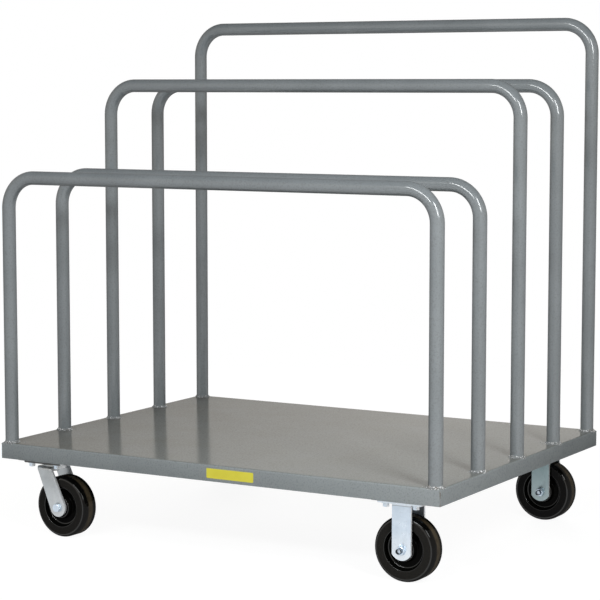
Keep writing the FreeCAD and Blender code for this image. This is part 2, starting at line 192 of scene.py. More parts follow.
def makePaint(base):
    f = newFinish(base + "Paint")
    cloud = f.noise(*paintLook["cloud"])
    grain = f.noise(*paintLook["grain"])
    fleck = f.spots(*paintLook["fleckSpots"])
    colour = f.mix(f.ramp(cloud, *paintLook["paleFrom"]), paintLook["grey"][base], paintLook["pale"][base])
    colour = f.mix(fleck * paintLook["fleckShare"], colour, paintLook["fleck"])
    normal = f.bump(f.noise(*paintLook["peel"]), *paintLook["peelDepth"][base])
    if base == "sheet":
        upright = f.along(f.node("NewGeometry", {}, {}, "Normal"), "Z")
        top = f.ramp(upright, *dustLook["upward"])
        shadeAndWearFade = f.ramp(f.along(f.place(), "X"), *dustLook["worn"])
        least, more = dustLook["share"]
        film = top * (least + f.ramp(grain + cloud, *dustLook["gathers"]) * more)
        # painted shade: the dust's colour darkens towards the swivel end
        colour = f.mix(film, colour, f.mix(shadeAndWearFade, *dustLook["shades"]))
        normal = f.bump(f.noise(*dustLook["swell"]), *dustLook["swellDepth"], normal)
        least, more = dustLook["sheen"]
        sheen = top * (least + shadeAndWearFade * more) * paintLook["sheen"][base]
    else:
        least, more = paintLook["sheenVaries"]
        sheen = (least + cloud * more) * paintLook["sheen"][base]
    mottled = f.ramp(grain, *paintLook["mottleFrom"]) * paintLook["mottleShare"]
    colour = f.mix(mottled, colour, paintLook["mottle"])
    byCloud, byGrain = paintLook["roughVaries"]
    rough = paintLook["rough"][base] + (cloud - 0.5) * byCloud + (grain - 0.5) * byGrain
    return f.surface({"Base Color": colour, "Roughness": rough, "Normal": normal, "Specular IOR Level": 0.0,
                      "Coat Weight": sheen, "Coat IOR": paintLook["sheenIndex"][base],
                      "Coat Roughness": paintLook["sheenRough"][base]})


# weld metal under the same paint, burnt brown in places, with painted glints and painted shade in small pits
weldLook = {
    "grey": rgb(126, 130, 131),
    "cloud": (85.0, 3.0),
    "burnt": rgb(84, 72, 57),
    "burntFade": 0.14,
    "burntShare": 0.75,
    # painted shade in the weld's small pits
    "pit": rgb(58, 56, 53),
    "pitSpots": (190.0, 2.0, 0.6, 0.66),
    "pitShare": 0.8,
    # painted highlight: near-white glints on the weld's lumps
    "bright": rgb(240, 242, 243),
    "brightSpots": (300.0, 2.0, 0.56, 0.62),
    "rough": 0.22,
    "roughFrom": 0.4,               # level of the clouds that has this roughness
    "roughVaries": 0.25,
    "lumps": (320.0, 3.0),
    "lumpDepth": (0.5, 0.0004),
}


def makeWeldPaint(name, burntFrom, bare):
    f = newFinish(name)
    cloud = f.noise(*weldLook["cloud"])
    burnt = f.ramp(cloud, burntFrom, burntFrom + weldLook["burntFade"]) * weldLook["burntShare"]
    colour = f.mix(burnt, weldLook["grey"], weldLook["burnt"])
    colour = f.mix(f.spots(*weldLook["pitSpots"]) * bare * weldLook["pitShare"], colour, weldLook["pit"])
    colour = f.mix(f.spots(*weldLook["brightSpots"]) * bare, colour, weldLook["bright"])
    rough = weldLook["rough"] + (cloud - weldLook["roughFrom"]) * weldLook["roughVaries"]
    lumps = f.bump(f.noise(*weldLook["lumps"]), *weldLook["lumpDepth"])
    return f.surface({"Base Color": colour, "Roughness": rough, "Normal": lumps})


# zinc plate on pressed steel: bright and cool, darker as painted shade on the rear fork, dulled, or dark under old
# grease and painted shade
zincLook = {
    # two shades, roughness, how much painted highlight the lower end gets, how bright the cut edges are
    "bright": (rgb(214, 226, 238), rgb(199, 213, 227), 0.30, 0.5, 0.6),
    # painted shade: a darker copy of the zinc for the rear fork, which sits in the deck's shade
    "weathered": (rgb(145, 164, 168), rgb(130, 148, 152), 0.36, 0.12, 0.6),
    "dulled": (rgb(184, 189, 192), rgb(165, 170, 173), 0.34, 0.3, 0.25),
    # partly painted shade: old grease, painted darker still since these parts sit in shade under the deck's lip
    "greased": (rgb(108, 110, 110), rgb(74, 75, 73), 0.45, 0.0, 0.0),
    "metal": 0.8,
    "bloom": (38.0, 4.0, 0.6),
    "shadeFrom": (0.3, 0.7),
    "drawn": (60.0, 2.0, 0.5),      # marks of the press, long in Z
    "drawnStretch": (1.0, 1.0, 0.12),
    "drawnDepth": (0.2, 0.00015),
    "roughVaries": (0.2, 0.1),      # with the bloom and with the press marks
    "spot": rgb(138, 142, 142),
    "dullSpots": (150.0, 2.0, 0.6, 0.78),
    "spotShare": 0.3,
    # painted highlight: the near white painted on cut edges, upward faces, bends and lower ends
    "edge": rgb(244, 247, 249),
    "sheared": (0.66, 0.86),        # how far along X a cut edge looks
    "folded": (0.15, 0.5),          # how far up a face looks to take the painted highlight
    "edgeShare": 0.85,
    "rubbed": (0.065, 0.125),       # painted highlight: a leg is painted brighter towards its lower end
    "tooth": (700.0, 2.0),
    "toothDepth": (0.25, 0.00004),
}

# a rigid fork's bend over its legs, with a painted highlight on it and painted shade along its crease, and painted
# shade between the legs
forkLook = {
    "bend": 0.006,                  # height of the bend over a leg
    "bendFade": 0.002,
    "bendShare": 0.35,
    "crease": (0.0004, 0.0016),
    "creaseShare": 0.6,
    "grime": rgb(34, 34, 35),
    "grimeShare": (0.75, 0.3),      # the least of it, and what the bloom adds
    "grimeFade": 0.0006,
    "wheelClear": 0.0016,           # how far the painted shade reaches past the wheel's sides
}


def makeZinc(kind, inside=None):
    f = newFinish(kind + ("ForkZinc" if inside else "Zinc"))
    pale, cool, smooth, lowerEndLight, shine = zincLook[kind]
    bloom = f.noise(*zincLook["bloom"])
    drawn = f.noise(*zincLook["drawn"], f.stretched(zincLook["drawnStretch"]))
    colour = f.mix(f.ramp(bloom, *zincLook["shadeFrom"]), pale, cool)
    colour = f.mix(f.spots(*zincLook["dullSpots"]) * zincLook["spotShare"], colour, zincLook["spot"])
    normal = f.node("TexCoord", {}, {}, "Normal")
    sheared = f.ramp(f.along(normal, "X").math("ABSOLUTE"), *zincLook["sheared"])
    folded = f.ramp(f.along(normal, "Z"), *zincLook["folded"])
    bare = (sheared + folded).clamp()
    colour = f.mix(bare * zincLook["edgeShare"], colour, zincLook["edge"])  # painted highlight: cut edges and upward faces painted near white
    height = f.along(f.place(), "Z")
    # painted highlight towards the lower end of a leg
    rubbed = 1.0 - f.ramp(height, *zincLook["rubbed"])
    colour = f.mix(rubbed * lowerEndLight, colour, zincLook["edge"])
    if inside:
        middle, reach, bendTop = inside
        bendLow = bendTop - forkLook["bend"]
        bent = f.ramp(height, bendLow, bendLow + forkLook["bendFade"])
        crease = 1.0 - f.ramp((height - bendLow).math("ABSOLUTE"), *forkLook["crease"])
        # painted highlight on the bend, and painted shade along the crease under it
        colour = f.mix(bent * forkLook["bendShare"], colour, zincLook["edge"])
        colour = f.mix(crease * forkLook["creaseShare"], colour, zincLook["spot"])
        # painted shade: the legs' inner faces, between them and the wheel, are painted dark
        across = f.along(f.place(), "Y").math("ABSOLUTE")
        within = 1.0 - f.ramp((across - middle).math("ABSOLUTE"), reach, reach + forkLook["grimeFade"])
        least, more = forkLook["grimeShare"]
        colour = f.mix(within * (least + bloom * more), colour, forkLook["grime"])
    byBloom, byDrawn = zincLook["roughVaries"]
    rough = smooth + (bloom - 0.5) * byBloom + (drawn - 0.5) * byDrawn
    tooth = f.bump(f.noise(*zincLook["tooth"]), *zincLook["toothDepth"])
    tooth = f.bump(drawn, *zincLook["drawnDepth"], tooth)
    metal = zincLook["metal"] - sheared * shine
    return f.surface({"Base Color": colour, "Metallic": metal, "Roughness": rough, "Normal": tooth})


# zinc on the axle bolts, dark with oil and painted shade in the threads
axleLook = {
    "thread": (0.0446, 0.0449),         # where the bare threads begin along the axle
    "threadRadius": (0.0049, 0.0051),   # the flat end inside them stays clean
    "oil": rgb(84, 86, 88),
    "oilShare": 0.9,
    "bloom": (120.0, 3.0, 0.6),
    "rough": 0.3,
    "roughVaries": (0.2, 0.1),          # with the bloom and in the threads
}
flatOnZ = (1.0, 1.0, 0.0)  # leaves Z out


def makeAxleZinc():
    f = newFinish("axleZinc")
    radius = f.length(f.stretched(flatOnZ))
    out = f.along(f.place(), "Z").math("ABSOLUTE")
    thread = f.ramp(out, *axleLook["thread"]) * f.ramp(radius, *axleLook["threadRadius"])
    bloom = f.noise(*axleLook["bloom"])
    colour = f.mix(f.ramp(bloom, *zincLook["shadeFrom"]), *zincLook["bright"][:2])
    # partly painted shade: the threads are painted dark for oil and for the shade in their grooves
    colour = f.mix(thread * axleLook["oilShare"], colour, axleLook["oil"])
    byBloom, byThread = axleLook["roughVaries"]
    rough = axleLook["rough"] + (bloom - 0.5) * byBloom + thread * byThread
    return f.surface({"Base Color": colour, "Metallic": zincLook["metal"], "Roughness": rough})


# ground and oiled steel of balls, rollers and bushings
bearingLook = {
    "shades": (rgb(172, 172, 174), rgb(120, 112, 98)),
    "film": (90.0, 3.0),
    "filmFrom": (0.4, 0.75),
    "rough": (0.18, 0.2),               # clean, and what the film adds
}


def makeBearingSteel():
    f = newFinish("bearingSteel")
    film = f.noise(*bearingLook["film"])
    colour = f.mix(f.ramp(film, *bearingLook["filmFrom"]), *bearingLook["shades"])
    least, more = bearingLook["rough"]
    return f.surface({"Base Color": colour, "Metallic": 1.0, "Roughness": least + film * more})


# black phenolic: ground dull on the faces, brown along the tread, as moulded in the recess, which is also painted
# darker as painted shade
phenolicLook = {
    # partly painted shade: the recess's near black is the moulded finish and also stands for shade in the deep
    # recess
    "moulded": rgb(8, 8, 7),
    "ground": {"front": rgb(31, 30, 28), "rear": rgb(15, 15, 15)},  # the rear pair is painted darker, as painted shade under the deck
    "groundShare": (0.75, 0.5),
    "groundFrom": (0.0509, 0.0517),     # radius where the ground face begins
    "groundTo": (0.0085, 0.0065),       # and where it ends, inside the tread
    "flow": (70.0, 5.0, 0.65),
    "fibre": rgb(58, 52, 43),
    "fibreSpots": (420.0, 2.0, 0.6, 0.72),
    "fibreShare": 0.35,
    "tread": rgb(78, 69, 54),
    "treadFrom": (0.0012, 0.0004),      # depth under the tread where its brown begins
    "treadBand": (0.005, 0.011),        # where the brown band fades, from the middle
    "treadWander": 0.008,
    "treadPatches": (0.3, 0.7),
    "treadShare": (0.45, 0.5),
    "rough": 0.3,
    "roughVaries": (0.1, 0.25, 0.3),    # with the flow, on the ground face, on the tread
    # radius of each rounded edge and how far its gloss reaches
    "edges": ((0.0266, 0.0016), (0.0452, 0.0028), (0.0504, 0.0008), (0.0700, 0.0018)),
    "edgeFull": 0.7,
    "gloss": (0.010, 0.022, 0.20, 0.045),  # recess, ground face, rounded edges, tread
    "glossIndex": 2.6,                  # high, so that flat angles stay black
    "glossRough": 0.05,
    "skin": (520.0, 2.0),
    "skinDepth": (0.25, 0.00002),
    "ringsPerMetre": 900.0,             # fine grinding marks round the face
    "ringDetail": 1.0,
    "ringDepth": (0.2, 0.00008),
}


def makePhenolic(end, tread):
    look = phenolicLook
    f = newFinish(end + "Phenolic")
    radius = f.length(f.stretched(flatOnZ))
    aside = f.along(f.place(), "Z").math("ABSOLUTE")
    flow = f.noise(*look["flow"])
    rings = f.node("TexNoise", {"noise_dimensions": "1D"},
                   {"W": radius * look["ringsPerMetre"], "Detail": look["ringDetail"]})
    outside = f.ramp(radius, *[tread - inset for inset in look["groundTo"]])
    ground = f.ramp(radius, *look["groundFrom"]) * (1.0 - outside)
    middle = 1.0 - f.ramp(aside + (flow - 0.5) * look["treadWander"], *look["treadBand"])
    rolled = f.ramp(radius, *[tread - inset for inset in look["treadFrom"]]) * middle
    polished = sum(1.0 - f.ramp((radius - edge).math("ABSOLUTE"), reach * look["edgeFull"], reach)
                   for edge, reach in look["edges"])
    least, more = look["groundShare"]
    colour = f.mix(ground * (least + flow * more), look["moulded"], look["ground"][end])
    colour = f.mix(f.spots(*look["fibreSpots"]) * ground * look["fibreShare"], colour, look["fibre"])
    least, more = look["treadShare"]
    colour = f.mix(rolled * (least + f.ramp(flow, *look["treadPatches"]) * more), colour, look["tread"])
    byFlow, byGround, byTread = look["roughVaries"]
    rough = look["rough"] + (flow - 0.5) * byFlow + ground * byGround + rolled * byTread
    dim, dull, bright, worn = look["gloss"]
    gloss = dim + ground * (dull - dim) + (polished.clamp() * bright).math("MAXIMUM", outside * worn)
    normal = f.bump(f.noise(*look["skin"]), *look["skinDepth"])
    normal = f.bump(rings * ground, *look["ringDepth"], normal)
    return f.surface({"Base Color": colour, "Roughness": rough, "Normal": normal, "Specular IOR Level": 0.0,
                      "Coat Weight": gloss, "Coat IOR": look["glossIndex"],
                      "Coat Roughness": look["glossRough"]})


# plain yellow vinyl, a little uneven where it was smoothed down
labelLook = {
    "shades": (rgb(226, 217, 72), rgb(216, 206, 60)),
    "cloud": (30.0, 3.0),
    "shadeFrom": (0.3, 0.8),
    "rough": (0.32, 0.1),
    "ripple": (120.0, 2.0),
    "rippleDepth": (0.2, 0.00008),
}


def makeLabelVinyl():
    f = newFinish("labelVinyl")
    cloud = f.noise(*labelLook["cloud"])
    colour = f.mix(f.ramp(cloud, *labelLook["shadeFrom"]), *labelLook["shades"])
    least, more = labelLook["rough"]
    ripple = f.bump(f.noise(*labelLook["ripple"]), *labelLook["rippleDepth"])
    return f.surface({"Base Color": colour, "Roughness": least + cloud * more, "Normal": ripple})


sheetPaint = makePaint("sheet")
pipePaint = makePaint("pipe")
weldPaint = makeWeldPaint("weldPaint", burntFrom=0.56, bare=0.9)
seamPaint = makeWeldPaint("seamPaint", burntFrom=0.47, bare=0.12)
brightZinc = makeZinc("bright")
dulledZinc = makeZinc("dulled")
greasedShadedZinc = makeZinc("greased")
axleZinc = makeAxleZinc()
bearingSteel = makeBearingSteel()
labelVinyl = makeLabelVinyl()
print("finishes made")


# meshes
def meshFrom(name, verts, faces):
    mesh = bpy.data.meshes.new(name)
    mesh.from_pydata([tuple(v) for v in verts], [], faces)
    mesh.update()
    return mesh


def faceOut(mesh):
    work = bmesh.new()
    work.from_mesh(mesh)
    bmesh.ops.recalc_face_normals(work, faces=work.faces)
    work.to_mesh(mesh)
    work.free()


def smoothByAngle(mesh, degrees):
    mesh.polygons.foreach_set("use_smooth", [True] * len(mesh.polygons))
    mesh.set_sharp_from_angle(angle=math.radians(degrees))


def paintMesh(mesh, finish):
    mesh.materials.clear()
    mesh.materials.append(finish)


def addPiece(node, mesh, finish, name=None, place=None):  # stands in for a CAD node
    piece = bpy.data.objects.new(name or node.replace("_", "-"), mesh)
    if place:
        piece.matrix_world = place
    scene.collection.objects.link(piece)
    paintMesh(mesh, finish)
    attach(piece, bodyOf[node])
    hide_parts(node)


def fillet(corners, steps):  # rounds the corners of a closed outline of (x, y, radius)
    points = []
    count = len(corners)
    for n, (x, y, radius) in enumerate(corners):
        here = Vector((x, y))
        back = (Vector(corners[n - 1][:2]) - here).normalized()
        ahead = (Vector(corners[(n + 1) % count][:2]) - here).normalized()
        half = back.angle(ahead) / 2
        reach = radius / math.tan(half)
        centre = here + (back + ahead).normalized() * (radius / math.sin(half))
        start = here + back * reach - centre
        turn = start.angle_signed(here + ahead * reach - centre)
        for step in range(steps + 1):
            angle = -turn * step / steps
            c, s = math.cos(angle), math.sin(angle)
            points.append(centre + Vector((start.x * c - start.y * s, start.x * s + start.y * c)))
    return points


def lathe(name, outlineAt, steps, closed=True):  # outlines of (radius, along), turned about Z
    verts = []
    faces = []
    count = len(outlineAt(0.0))
    for step in range(steps):
        angle = 2 * math.pi * step / steps
        for radius, along in outlineAt(angle):
            verts.append(Vector((radius * math.cos(angle), radius * math.sin(angle), along)))
    for step in range(steps):
        here, after = step * count, (step + 1) % steps * count
        for n in range(count if closed else count - 1):
            m = (n + 1) % count
            faces.append((here + n, after + n, after + m, here + m))
    if not closed:  # flat ends
        faces.append(tuple(step * count for step in range(steps)))
        faces.append(tuple(step * count + count - 1 for step in reversed(range(steps))))
    mesh = meshFrom(name, verts, faces)
    faceOut(mesh)
    return mesh


easeShape = {
    "merge": 1e-6,
    "flat": 0.5,       # degrees under which faces are joined
    "sharp": 32,       # degrees over which an edge is eased
    "segments": 2,
}


def roundedCopy(node, edge):  # the CAD node's own shape with its sharp edges eased
    work = bmesh.new()
    work.from_mesh(frame["nodes"][node].data)
    bmesh.ops.remove_doubles(work, verts=work.verts, dist=easeShape["merge"])
    flat, sharpest = math.radians(easeShape["flat"]), math.radians(easeShape["sharp"])
    bmesh.ops.dissolve_limit(work, angle_limit=flat, verts=work.verts, edges=work.edges)
    sharp = [e for e in work.edges if e.is_manifold and e.calc_face_angle(0) > sharpest]
    bmesh.ops.bevel(work, geom=sharp, offset=edge, offset_type="OFFSET", segments=easeShape["segments"],
                    profile=0.5, affect="EDGES", clamp_overlap=True)
    mesh = bpy.data.meshes.new(node + "Eased")
    work.to_mesh(mesh)
    work.free()
    if "custom_normal" in mesh.attributes:
        mesh.attributes.remove(mesh.attributes["custom_normal"])
    smoothByAngle(mesh, easeShape["sharp"])
    return mesh


# deck sheet and the frame under it
deckEase = {
    "deck_pan": 0.0004, "left_caster_channel": 0.0009, "right_caster_channel": 0.0009,
    "centre_stiffener": 0.0008,
}
for node, edge in deckEase.items():
    addPiece(node, roundedCopy(node, edge), sheetPaint)
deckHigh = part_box("deck_pan")[1]
print("deck dressed")


# divider pipes
pipeShape = {
    "bend": 0.0762,
    "sides": 56,
    "bendSteps": 28,
    "straightStep": 0.06,
    "flattened": 0.015,    # how far a bend goes out of round
    "smooth": 40,
}


def pipeStations(legX, foot, top):  # centre, heading and flattening along one hoop
    bend = pipeShape["bend"]
    stations = []
    rise = top - bend - foot
    count = max(2, round(rise / pipeShape["straightStep"]))
    for n in range(count):
        stations.append((Vector((-legX, foot + rise * n / count)), 0.0, 0.0))
    for n in range(pipeShape["bendSteps"] + 1):
        share = n / pipeShape["bendSteps"]
        angle = share * math.pi / 2
        spot = Vector((-legX + bend * (1 - math.cos(angle)), top - bend + bend * math.sin(angle)))
        stations.append((spot, angle, math.sin(share * math.pi)))
    span = round((legX - bend) / pipeShape["straightStep"])
    for n in range(1, span):
        stations.append((Vector((-(legX - bend) * (1 - n / span), top)), math.pi / 2, 0.0))
    mirrored = []
    for spot, angle, oval in reversed(stations):
        mirrored.append((Vector((-spot.x, spot.y)), math.pi - angle, oval))
    return stations + [(Vector((0.0, top)), math.pi / 2, 0.0)] + mirrored


def pipeMesh(node):
    low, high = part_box(node)
    radius = (high.y - low.y) / 2
    y = (high.y + low.y) / 2
    sides = pipeShape["sides"]
    verts = []
    faces = []
    stations = pipeStations(high.x - radius, low.z, high.z - radius)
    for spot, angle, oval in stations:
        out = Vector((-math.cos(angle), 0, math.sin(angle)))
        squeeze = oval * pipeShape["flattened"]
        for n in range(sides):
            turn = 2 * math.pi * n / sides
            ring = out * (math.cos(turn) * radius * (1 - squeeze))
            ring.y = math.sin(turn) * radius * (1 + squeeze)
            verts.append(Vector((spot.x, y, spot.y)) + ring)
    for k in range(len(stations) - 1):
        for n in range(sides):
            m = (n + 1) % sides
            faces.append((k * sides + n, k * sides + m, (k + 1) * sides + m, (k + 1) * sides + n))
    faces.append(tuple(range(sides)))
    faces.append(tuple(reversed(range((len(stations) - 1) * sides, len(stations) * sides))))
    mesh = meshFrom(node + "Pipe", verts, faces)
    faceOut(mesh)
    smoothByAngle(mesh, pipeShape["smooth"])
    return mesh


dividers = ["front_low_divider", "second_low_divider", "third_middle_divider", "fourth_middle_divider",
            "rear_tall_divider"]
for node in dividers:
    addPiece(node, pipeMesh(node), pipePaint)
print("dividers made")


# weld beads round the divider feet
beadShape = {
    "leg": 0.0058,              # bead size along pipe and deck
    "lump": 0.0017,             # how far that size varies, and how often round the foot
    "lumpRate": 2.3,
    "ripple": 0.0040,           # spacing of the ripples
    "rippleDepth": 0.00035,
    "rippleDrift": 2.5,
    "driftRate": 3.1,
    "grain": 0.0005,
    "grainRates": (9, 3),       # round the bead and across it
    "hollow": 0.11,             # how far the face sinks, as a share of its size
    "intoPipe": 0.0005,
    "intoDeck": 0.0003,
    "inset": 0.0003,            # the bead stays this far inside the deck's outline
    "footSeed": 2.3,
    "steps": 192,
    "rows": 10,
    "smooth": 60,
    "deckBend": 0.0045,
    "bendUsed": 0.98,           # share of the deck's bend before it stands upright
    "spatter": 7,
    "spatterSeed": 11,
    "spatterReach": (0.007, 0.018),
    "spatterSize": (0.0004, 0.0011),
    "spatterLift": 0.2,
}


def deckFall(x, y):  # how far the deck's rounded edge has dropped here
    bend = beadShape["deckBend"]
    drop = 0.0
    for past in (abs(x) - (deckHigh.x - bend), abs(y) - (deckHigh.y - bend)):
        if past > 0:
            past = min(past, bend * beadShape["bendUsed"])
            drop = max(drop, bend - math.sqrt(bend * bend - past * past))
    return drop


def beadRing(foot, radius, seed, verts, faces):
    b = beadShape
    steps, rows = b["steps"], b["rows"]
    ripples = round(2 * math.pi * radius / b["ripple"])
    first = len(verts)
    limitX, limitY = deckHigh.x - b["inset"], deckHigh.y - b["inset"]
    rateRound, rateAcross = b["grainRates"]
    for n in range(steps):
        turn = 2 * math.pi * n / steps
        around = Vector((math.cos(turn), math.sin(turn), seed))
        size = b["leg"] + noise.noise(around * b["lumpRate"]) * b["lump"]
        beat = math.sin(turn * ripples + b["rippleDrift"] * noise.noise(around * b["driftRate"]))
        for row in range(rows):
            share = row / (rows - 1)
            belly = math.sin(share * math.pi)
            grain = noise.noise(Vector((turn * rateRound, share * rateAcross, seed)))
            rough = beat * b["rippleDepth"] + grain * b["grain"]
            sink = (rough - b["hollow"] * size) * belly
            out = radius - b["intoPipe"] + size * share + sink
            x = max(-limitX, min(limitX, foot.x + math.cos(turn) * out))
            y = max(-limitY, min(limitY, foot.y + math.sin(turn) * out))
            z = foot.z + size * (1 - share) + sink - deckFall(x, y) * share ** 2 - b["intoDeck"] * share
            verts.append(Vector((x, y, z)))
    for n in range(steps):
        here, after = first + n * rows, first + (n + 1) % steps * rows
        for row in range(rows - 1):
            faces.append((here + row, here + row + 1, after + row + 1, after + row))


def addBall(spot, size, verts, faces):
    first = len(verts)
    ball = bmesh.new()
    bmesh.ops.create_icosphere(ball, subdivisions=2, radius=size)
    for v in ball.verts:
        verts.append(spot + v.co)
    for face in ball.faces:
        faces.append(tuple(first + v.index for v in face.verts))
    ball.free()


def beadMesh():
    verts = []
    faces = []
    draw = random.Random(beadShape["spatterSeed"])
    for number, node in enumerate(dividers):
        low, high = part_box(node)
        radius = (high.y - low.y) / 2
        for side in (-1, 1):
            foot = Vector((side * (high.x - radius), (low.y + high.y) / 2, deckHigh.z))
            beadRing(foot, radius, number * beadShape["footSeed"] + side, verts, faces)
            for n in range(beadShape["spatter"]):
                turn = draw.uniform(0, 2 * math.pi)
                far = radius + draw.uniform(*beadShape["spatterReach"])
                size = draw.uniform(*beadShape["spatterSize"])
                x, y = foot.x + math.cos(turn) * far, foot.y + math.sin(turn) * far
                if deckFall(x, y) == 0 and abs(x) < deckHigh.x and abs(y) < deckHigh.y:
                    spot = Vector((x, y, deckHigh.z + size * beadShape["spatterLift"]))
                    addBall(spot, size, verts, faces)
    mesh = meshFrom("dividerBeads", verts, faces)
    smoothByAngle(mesh, beadShape["smooth"])
    return mesh


addPiece("divider_welds", beadMesh(), weldPaint, name="divider-weld-beads")


# upright seams at the deck's corners
seamShape = {
    "radius": 0.0021,
    "lump": 0.0002,
    "lumpRate": 260,
    "ripple": 0.0011,
    "rippleShare": 0.3,
    "cornerSeeds": (5, 7),  # so that no two corners are alike
    "step": 0.0008,
    "sides": 14,
    "smooth": 60,
}


def seamRod(cx, cy, low, high, verts, faces):
    s = seamShape
    sides = s["sides"]
    count = round((high.z - low.z) / s["step"])
    first = len(verts)
    inner = Vector((cx * (high.x - s["radius"]), cy * (high.y - s["radius"]), 0))
    seedX, seedY = s["cornerSeeds"]
    for k in range(count + 1):
        z = low.z + (high.z - low.z) * k / count
        beat = math.sin(z / s["ripple"] + cx + 2 * cy)
        lump = noise.noise(Vector((cx * seedX, cy * seedY, z * s["lumpRate"])))
        radius = s["radius"] + s["lump"] * (s["rippleShare"] * (beat - 1) + lump)
        for n in range(sides):
            turn = 2 * math.pi * n / sides
            verts.append(inner + Vector((math.cos(turn) * radius, math.sin(turn) * radius, z)))
    for k in range(count):
        for n in range(sides):
            m = (n + 1) % sides
            a, b = first + k * sides, first + (k + 1) * sides
            faces.append((a + n, a + m, b + m, b + n))
    faces.append(tuple(reversed(range(first, first + sides))))
    faces.append(tuple(range(first + count * sides, first + (count + 1) * sides)))


def seamMesh():
    verts = []
    faces = []
    low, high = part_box("deck_corner_welds")
    for cx in (-1, 1):
        for cy in (-1, 1):
            seamRod(cx, cy, low, high, verts, faces)
    mesh = meshFrom("cornerSeams", verts, faces)
    smoothByAngle(mesh, seamShape["smooth"])
    return mesh


addPiece("deck_corner_welds", seamMesh(), seamPaint, name="deck-corner-seams")
print("welds made")


# blank label on the front lip
labelShape = {"corner": 0.0022, "cornerSteps": 6}


def labelMesh():
    low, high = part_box("blank_label")
    r = labelShape["corner"]
    outline = fillet([(low.x, low.z, r), (high.x, low.z, r), (high.x, high.z, r), (low.x, high.z, r)],
                     labelShape["cornerSteps"])
    count = len(outline)
    verts = [Vector((p.x, high.y, p.y)) for p in outline] + [Vector((p.x, low.y, p.y)) for p in outline]
    faces = [tuple(range(count)), tuple(reversed(range(count, 2 * count)))]
    for n in range(count):
        m = (n + 1) % count
        faces.append((n, n + count, m + count, m))
    return meshFrom("labelFace", verts, faces)


addPiece("blank_label", labelMesh(), labelVinyl, name="plain-label")


# caster hardware that keeps its CAD shape with eased edges
boltEase = {"caster_bolts": 0.0003, "caster_nuts": 0.0003, "caster_washers": 0.0002}
hardwareEase = {
    "rigid_fork": 0.0009, "swivel_plate": 0.0008, "kingpin": 0.0004, "kingpin_nut": 0.0004,
    "swivel_fork": 0.0008, "swivel_hub_washers": 0.0003, "rigid_hub_washers": 0.0003,
}
# grease, and painted shade for where these parts sit
greasyShaded = ("swivel_plate", "kingpin", "kingpin_nut", "swivel_hub_washers", "rigid_hub_washers")
bearingParts = ("swivel_balls", "swivel_wheel_bearing", "swivel_axle_bushing", "rigid_wheel_bearing",
                "rigid_axle_bushing")
wheelLow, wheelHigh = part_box("front_rigid_wheel")
hubLength = wheelHigh.y - wheelLow.y
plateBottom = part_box("caster_washers")[1].z
forkInside = (-(wheelLow.y + wheelHigh.y) / 2, hubLength / 2 + forkLook["wheelClear"], plateBottom)
# the rear fork takes the darker copy of the zinc, as painted shade under the deck
forkZinc = {"front": makeZinc("bright", forkInside), "rear": makeZinc("weathered", forkInside)}


def zincOf(end, part):
    if part == "rigid_fork":
        return forkZinc[end]
    return greasedShadedZinc if part in greasyShaded else dulledZinc


for node, edge in boltEase.items():
    addPiece(node, roundedCopy(node, edge), brightZinc)
for end in ("front", "rear"):
    for part, edge in hardwareEase.items():
        node = end + "_" + part
        addPiece(node, roundedCopy(node, edge), zincOf(end, part))
    for part in bearingParts:  # these keep the CAD shape as it is
        paintMesh(frame["nodes"][end + "_" + part].data, bearingSteel)
print("caster hardware dressed")


# axle bolts and nuts, each about its own axle
axleShape = {
    "flats": 0.01905,
    "faceShare": 0.94,     # round face inside the flats
    "chamferSlope": 0.58,
    "bore": 0.0064,
    "shank": 0.00635,
    "countersink": 0.0011,
    "tip": 0.0049,         # radius of the bolt's flat end
    "tipChamfer": 0.0010,
    "pitch": 0.00195,
    "threadDepth": 0.0007,
    "threadLength": 0.006,
    "threadRings": 28,
    "steps": 96,
    "smooth": 24,
}


def hexEdge(angle, end, inward):  # corner of a hexagon, chamfered towards its end
    half = axleShape["flats"] / 2
    reach = half / math.cos((angle + math.pi / 6) % (math.pi / 3) - math.pi / 6)
    return reach, end + inward * (reach - half * axleShape["faceShare"]) * axleShape["chamferSlope"]


def nutMesh(name, inner, outer):
    a = axleShape
    face = a["flats"] / 2 * a["faceShare"]
    inward = 1 if inner > outer else -1
    sink = a["countersink"]

    def outline(angle):
        return [
            (a["bore"], inner), (a["bore"], outer + inward * sink), (a["bore"] + sink, outer),
            (face, outer), hexEdge(angle, outer, inward), hexEdge(angle, inner, -inward), (face, inner),
        ]

    mesh = lathe(name, outline, a["steps"])
    smoothByAngle(mesh, a["smooth"])
    return mesh


def boltMesh(name, seat, top, tip):
    a = axleShape
    face = a["flats"] / 2 * a["faceShare"]
    inward = 1 if seat > top else -1
    rings = [(a["shank"], seat), (a["shank"], tip + inward * a["threadLength"])]
    for n in range(1, a["threadRings"]):
        deep = a["threadLength"] - (a["threadLength"] - a["tipChamfer"]) * n / a["threadRings"]
        groove = 0.5 - 0.5 * math.cos(2 * math.pi * deep / a["pitch"])
        rings.append((a["shank"] - a["threadDepth"] * groove, tip - inward * deep))
    rings.append((a["tip"], tip))

    def outline(angle):
        return [(face, top), hexEdge(angle, top, inward), (hexEdge(angle, top, inward)[0], seat)] + rings

    mesh = lathe(name, outline, a["steps"], closed=False)
    smoothByAngle(mesh, a["smooth"])
    return mesh


def axlePlace(joint):  # Z along the axle
    turn = Vector(joint["axis"]).to_track_quat("Z", "X").to_matrix().to_4x4()
    return Matrix.Translation(Vector(joint["pos_m"])) @ turn


